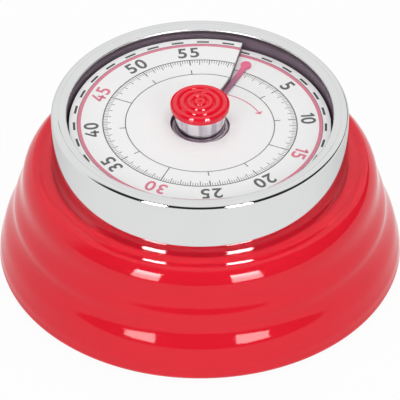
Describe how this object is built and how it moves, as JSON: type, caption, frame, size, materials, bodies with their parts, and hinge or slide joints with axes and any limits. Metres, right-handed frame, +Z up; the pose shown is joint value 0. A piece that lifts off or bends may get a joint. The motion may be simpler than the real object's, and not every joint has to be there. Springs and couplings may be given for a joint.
{
  "type": "kitchen timer",
  "caption": "Wind-up kitchen timer with a rippled bell-shaped body, chromed bezel, ramped minute dial, mushroom knob and clockwork alarm movement.",
  "frame": {"origin": "centre of the rubber foot ring at table height, under the knob's axis", "axes": "+Z up along the knob's axis, +Y towards the dial's zero, +X to the right of someone who reads the dial"},
  "size_m": [0.072, 0.072, 0.035],
  "materials": {
    "red_enamel": "gloss enamel",
    "chrome": "polished",
    "dark_plastic": "fine grain",
    "dial_white": "printed satin white",
    "red_plastic": "gloss",
    "pointer_pink": "satin",
    "rubber": "matte",
    "ferrite": "matte",
    "steel": "satin",
    "brass": "satin",
    "spring_steel": "blued",
    "bell_steel": "plated"
  },
  "bodies": {
    "case": {"body_shell": "red_enamel", "bezel_ring": "chrome", "dial_surround": "dark_plastic", "dial_plate": "dial_white", "dial_base": "dark_plastic", "dial_posts": "steel", "base_plate": "dark_plastic", "foot_ring": "rubber", "magnet_yoke": "steel", "magnet": "ferrite", "base_screws": "steel", "back_plate": "brass", "front_plate": "brass", "pillars": "steel", "pillar_screws": "steel", "mainspring": "spring_steel", "spring_post": "steel", "hairspring": "spring_steel", "hairspring_stud": "steel", "hammer_spring": "spring_steel", "hammer_spring_stud": "steel", "bell": "bell_steel", "bell_bush": "brass", "bell_nut": "steel"},
    "knob": {"knob_cap": "red_plastic", "knob_stem": "chrome", "main_arbor": "steel", "main_wheel": "brass", "ratchet_wheel": "steel", "click": "steel", "alarm_cam": "brass"},
    "pointer": {"pointer_collar": "dark_plastic", "pointer": "pointer_pink"},
    "second": {"second_arbor": "steel", "second_wheel": "brass"},
    "third": {"third_arbor": "steel", "third_wheel": "brass"},
    "escape": {"escape_arbor": "steel", "escape_wheel": "brass"},
    "pallet": {"pallet_arbor": "steel", "pallet_lever": "steel"},
    "balance": {"balance_staff": "steel", "balance_wheel": "brass"},
    "hammer": {"hammer_arbor": "steel", "stop_lever": "steel", "hammer_arm": "steel", "hammer_head": "brass"}
  },
  "joints": [
    {"name": "knob_turn", "type": "hinge", "parent": "case", "child": "knob", "pos_m": [0, 0, 0.03], "axis": [0, 0, -1], "range_deg": [0, 360]},
    {"name": "pointer_lift", "type": "slide", "parent": "knob", "child": "pointer", "axis": [0, 0, 1], "range_m": [0, 0.00145]},
    {"name": "second_turn", "type": "hinge", "parent": "case", "child": "second", "pos_m": [0.01579, 0.00575, 0.012], "axis": [0, 0, 1], "range_deg": [0, 2160]},
    {"name": "third_turn", "type": "hinge", "parent": "case", "child": "third", "pos_m": [0.00929, 0.014, 0.012], "axis": [0, 0, -1], "range_deg": [0, 10800]},
    {"name": "escape_turn", "type": "hinge", "parent": "case", "child": "escape", "pos_m": [-0.00083, 0.01678, 0.012], "axis": [0, 0, 1], "range_deg": [0, 54000]},
    {"name": "balance_swing", "type": "hinge", "parent": "case", "child": "balance", "pos_m": [-0.01317, 0.01043, 0.012], "axis": [0, 0, 1], "range_deg": [-8, 8], "stiffness_Nm_per_rad": 0.00002},
    {"name": "pallet_rock", "type": "hinge", "parent": "case", "child": "pallet", "pos_m": [-0.00778, 0.01489, 0.012], "axis": [0, 0, 1], "range_deg": [-4.2, 4.2]},
    {"name": "hammer_swing", "type": "hinge", "parent": "case", "child": "hammer", "pos_m": [-0.0108, -0.01287, 0.012], "axis": [0, 0, -1], "range_deg": [0, 5.2], "stiffness_Nm_per_rad": 0.0005}
  ],
  "couplings": [
    {"joint": "pointer_lift", "follows": "knob_turn", "m_per_rad": 0.00023077},
    {"joint": "second_turn", "follows": "knob_turn", "ratio": 6},
    {"joint": "third_turn", "follows": "knob_turn", "ratio": 30},
    {"joint": "escape_turn", "follows": "knob_turn", "ratio": 150},
    {"joint": "pallet_rock", "follows": "balance_swing", "ratio": -0.52174}
  ]
}
